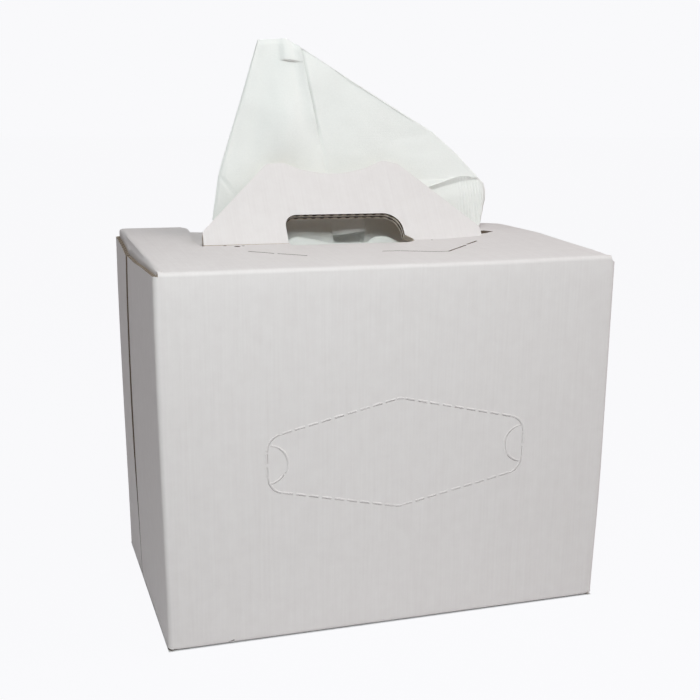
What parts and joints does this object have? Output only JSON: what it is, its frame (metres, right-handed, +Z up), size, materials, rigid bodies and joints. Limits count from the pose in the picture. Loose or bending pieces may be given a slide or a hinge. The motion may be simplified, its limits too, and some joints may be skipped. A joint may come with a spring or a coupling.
{
  "type": "box of cleaning wipes",
  "caption": "White corrugated carry carton of interfolded cleaning wipes, with a fold-up handle, a perforated front panel and one wipe pulled up ready.",
  "frame": {"origin": "middle of the carton's base, on the surface that it stands on", "axes": "+X to the right along the carton's length, +Y from the perforated front face to the back, +Z up"},
  "size_m": [0.31, 0.203, 0.3925],
  "materials": {
    "white_board": "uncoated white-faced corrugated board, faint flute lines",
    "wipe": "soft matt airlaid nonwoven"
  },
  "bodies": {
    "root": {"carton": "white_board", "wipe_stack": "wipe", "pulled_wipe": "wipe"}
  },
  "joints": []
}
